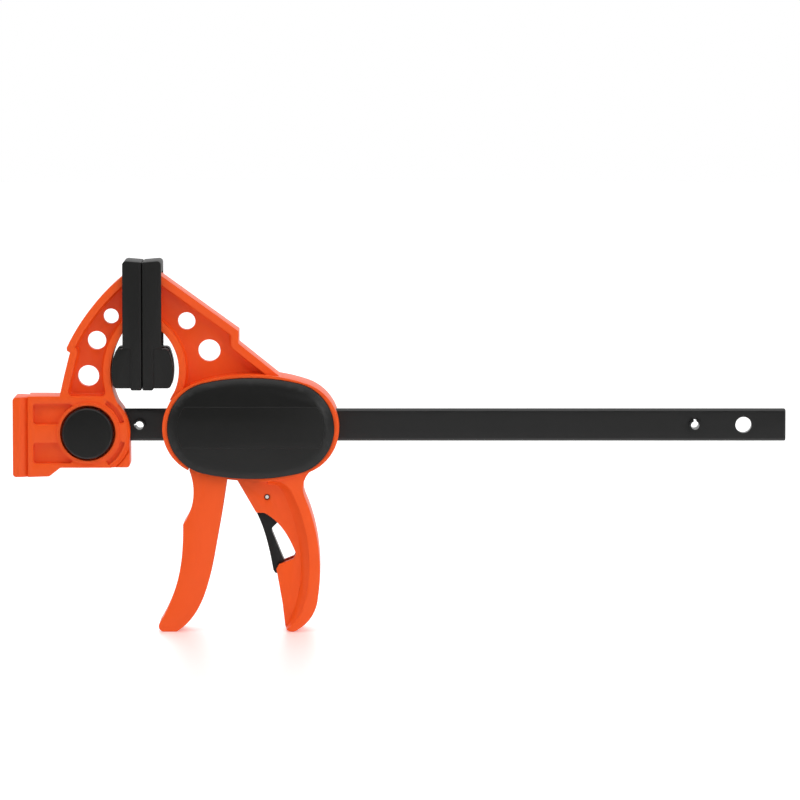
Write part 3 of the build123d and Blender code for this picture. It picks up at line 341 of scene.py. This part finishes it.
def dressed_copy(node, name, material, body, radius=0.0, crisp=crisp_turn):
    """A piece on a node's own solid, with its edges rounded to radius."""
    source = frame["nodes"][node]
    piece = source.copy()
    piece.data = source.data.copy()
    piece.name = name
    piece.data.name = name
    bpy.context.scene.collection.objects.link(piece)
    piece.parent = None
    # These two tags belong to the node alone.
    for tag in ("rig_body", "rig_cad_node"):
        del piece[tag]
    bpy.ops.object.select_all(action="DESELECT")
    bpy.context.view_layer.objects.active = piece
    piece.select_set(True)
    bpy.ops.object.mode_set(mode="EDIT")
    bpy.ops.mesh.select_all(action="SELECT")
    bpy.ops.mesh.remove_doubles(threshold=touching)
    bpy.ops.mesh.customdata_custom_splitnormals_clear()
    bpy.ops.mesh.dissolve_limited(angle_limit=flat_turn)
    bpy.ops.object.mode_set(mode="OBJECT")
    if radius:
        edges = piece.modifiers.new("edges", "BEVEL")
        edges.width = radius
        edges.segments = 3
        edges.limit_method = "ANGLE"
        edges.angle_limit = sharp_turn
        edges.miter_outer = "MITER_ARC"
        bpy.ops.object.modifier_apply(modifier="edges")
    bpy.ops.object.shade_smooth_by_angle(angle=crisp)
    piece.data.materials.clear()
    piece.data.materials.append(material)
    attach(piece, body)
    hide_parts(node)
    return piece


bar_flat = dressed_copy("bar", "bar_flat", black_oxide, "bar_body")
# The ends are broken with a file, like the long edges, which draw a paler line
# along the bar's top.
end_radius = 0.0007
flat = bar_flat.data
ends = [pick(v.co.x for v in flat.vertices) for pick in (min, max)]
bpy.ops.object.mode_set(mode="EDIT")
bpy.ops.mesh.select_mode(type="EDGE")
bpy.ops.mesh.select_all(action="DESELECT")
bpy.ops.object.mode_set(mode="OBJECT")
for edge in flat.edges:
    along = [flat.vertices[v].co.x for v in edge.vertices]
    edge.select = any(max(abs(x - end) for x in along) < touching for end in ends)
bpy.ops.object.mode_set(mode="EDIT")
bpy.ops.mesh.bevel(offset=end_radius, segments=4, affect="EDGES")
bpy.ops.object.mode_set(mode="OBJECT")
bpy.ops.object.shade_smooth_by_angle(angle=crisp_turn)

# --------------------------------------------------------------- stop pins
# Slotted spring pins, rolled from steel strip and blacked like the bar.  They are
# pressed through it so that neither jaw can run off.
for name in ("bar_stop_pin_front", "bar_stop_pin_rear"):
    frame["nodes"][name].data.materials[0] = black_oxide

# --------------------------------------------------------------- fixed jaw
# Glass-filled nylon, injection moulded in one piece, with a thin web between
# rims.  Every edge that the mould's halves leave is a little rounded.

# Moulded in a spark-eroded tool, so it is satin, with a faint cloud where the
# melt flowed (14 mm).  The tool's grain is about 0.03 mm and is drawn 0.5 mm
# across so that it shows at all.
orange_nylon, tree = new_material("moulded_glass_filled_nylon")
finish_material(
    tree,
    {"IOR": 1.52, "Specular IOR Level": 0.25},
    colours=("#EE5215", "#F45A1D"),
    tone=object_pattern(tree, 14.0),
    roughness=(0.34, 0.44),
    grain=object_pattern(tree, 0.5, detail=3.0),
    bump=(0.3, 0.00004),
)
dressed_copy(
    "fixed_jaw",
    "fixed_jaw_moulding",
    orange_nylon,
    "bar_body",
    radius=0.0006,
)

# ---------------------------------------------------- quick-change button
# Black nylon push button in the fixed jaw, its latch plate behind the bar, the
# turned steel pin that locks the bar, and the coil spring under the button.

# The jaws' moulding process in black nylon with a smoother tool, so its bevels
# catch the light.  The grain is drawn 0.45 mm across, the flow clouds 11 mm.
black_nylon, tree = new_material("moulded_black_nylon")
finish_material(
    tree,
    {"IOR": 1.52, "Specular IOR Level": 0.3},
    colours=("#0F0F0E", "#151514"),
    tone=object_pattern(tree, 11.0),
    roughness=(0.32, 0.42),
    grain=object_pattern(tree, 0.45, detail=3.0),
    bump=(0.3, 0.00004),
)
dressed_copy(
    "release_button",
    "button_moulding",
    black_nylon,
    "button",
    radius=0.0004,
)
frame["nodes"]["latch_plate"].data.materials[0] = black_nylon

# Bright zinc plate on turned pins: a pale metal with a cloudy sheen, its haze
# 0.6 mm across.
zinc_steel, tree = new_material("zinc_plated_steel")
finish_material(
    tree,
    {"Base Color": linear("#A9A9A6"), "Metallic": 1.0},
    roughness=(0.3, 0.48),
    grain=object_pattern(tree, 0.6),
)
frame["nodes"]["lock_pin"].data.materials[0] = zinc_steel

# Hard-drawn spring wire, coiled cold: grey metal, hazy at 0.25 mm from the die's
# soap.
spring_wire, tree = new_material("drawn_spring_wire")
finish_material(
    tree,
    {"Base Color": linear("#8C8C8A"), "Metallic": 1.0},
    roughness=(0.28, 0.42),
    grain=object_pattern(tree, 0.25),
)
wire_crisp_turn = math.radians(65.0)
button_coil = dressed_copy(
    "button_spring",
    "button_coil",
    spring_wire,
    "bar_body",
    crisp=wire_crisp_turn,
)
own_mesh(button_coil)

# -------------------------------------------------------------- sliding jaw
# The fixed jaw's orange nylon: arm, oval housing and the grip's panel and palm
# rim come out of one mould, which slides on the bar.
dressed_copy(
    "jaw_body",
    "jaw_body_moulding",
    orange_nylon,
    "sliding_jaw",
    radius=0.0006,
)

# ------------------------------------------------------------------- covers
# Two black nylon covers snapped into the housing by their posts, each with a
# bevelled rim and a flat band across the middle.
for name in ("cover_front", "cover_back"):
    dressed_copy(
        name,
        name + "_moulding",
        black_nylon,
        "sliding_jaw",
        radius=0.0005,
    )

# --------------------------------------------------------------------- pads
# Soft black mouldings pushed down over the jaws' flanges, matt so that they
# don't mark the work.

# Soft thermoplastic rubber, moulded with a matt grain that spreads every
# highlight.  Grain about 0.1 mm, drawn 0.6 mm; scuffs some 5 mm long.
pad_rubber, tree = new_material("soft_moulded_rubber")
finish_material(
    tree,
    {"IOR": 1.5, "Specular IOR Level": 0.32},
    colours=("#0F0F0E", "#151514"),
    tone=object_pattern(tree, 5.0, stretch=(0.4, 1, 1.6), detail=6.0),
    roughness=(0.42, 0.56),
    grain=object_pattern(tree, 0.6, detail=4.0),
    bump=(0.4, 0.00005),
)
for name, body in (("fixed_jaw_pad", "bar_body"), ("moving_jaw_pad", "sliding_jaw")):
    dressed_copy(
        name, name + "_moulding", pad_rubber, body, radius=0.0008
    )

# ------------------------------------------------------------------ trigger
# Orange nylon channel that hinges on a zinc-plated pin in the housing and closes
# over the grip's panel when squeezed.
dressed_copy(
    "trigger", "trigger_moulding", orange_nylon, "trigger", radius=0.0009
)
frame["nodes"]["trigger_pivot_pin"].data.materials[0] = zinc_steel

# --------------------------------------------------------- drive and brake
# Plates of hardened steel, each with a window that the bar runs through, and
# the coil springs round the bar behind them that return them.

# Stamped, hardened and left oiled: dark grey with the quench's brown and grey
# scale in marks of 2.2 mm.
hardened_plate, tree = new_material("hardened_stamped_steel")
finish_material(
    tree,
    {"Metallic": 1.0, "Roughness": 0.38},
    colours=("#4A4744", "#6A6763"),
    tone=object_pattern(tree, 2.2, detail=5.0),
)
for name in ("drive_plate_1", "drive_plate_2", "brake_plate"):
    frame["nodes"][name].data.materials[0] = hardened_plate

drive_coil = dressed_copy(
    "drive_spring",
    "drive_coil",
    spring_wire,
    "sliding_jaw",
    crisp=wire_crisp_turn,
)
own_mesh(drive_coil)
frame["nodes"]["brake_spring"].data.materials[0] = spring_wire

# ------------------------------------------------------------ release lever
# Black nylon lever in the grip's slot, on a small steel pin whose ends are
# riveted in a countersink.
dressed_copy(
    "release_lever",
    "release_lever_moulding",
    black_nylon,
    "lever",
    radius=0.0006,
)

# Bright steel pin, its end spread by a rivet set: a light face 1.4 mm across, and round it
# a painted dark ring of shade where the countersink's shadow falls, where it meets the
# plastic.  Haze 0.3 mm.
riveted_steel_painted_shade, tree = new_material("riveted_pin_steel_with_painted_shade")
face_radius_mm = 0.68
painted_shade_radius_mm = 0.84
pin = frame["nodes"]["release_lever_pin"]
pin_corners = [Vector(c) for c in pin.bound_box]
pin_centre = sum(pin_corners, Vector()) / len(pin_corners)
# Centred on the pin and flattened along it, so that a place's length is its
# distance from the pin's axis.
place = add_node(tree, "ShaderNodeTexCoord")
centred = add_node(
    tree,
    "ShaderNodeMapping",
    values={
        "Location": [-mm_per_metre * pin_centre.x, 0, -mm_per_metre * pin_centre.z],
        "Scale": (mm_per_metre, 0, mm_per_metre),
    },
    links={"Vector": (place, "Object")},
)
from_centre = add_node(
    tree, "ShaderNodeVectorMath", {"operation": "LENGTH"}, links={0: (centred, 0)}
)
# Painted shade: the pin's end darkens from the face's edge out to the ring's edge, in
# place of the shadow in the countersink.
painted_shade_ring = add_node(
    tree,
    "ShaderNodeMapRange",
    {"interpolation_type": "SMOOTHSTEP"},
    {"From Min": face_radius_mm, "From Max": painted_shade_radius_mm},
    {"Value": (from_centre, "Value")},
)
finish_material(
    tree,
    {"Metallic": 1.0},
    colours=("#F4EEE8", "#201C1A"),
    tone=(painted_shade_ring, 0),
    roughness=(0.45, 0.6),
    grain=object_pattern(tree, 0.3),
)
pin.data.materials[0] = riveted_steel_painted_shade
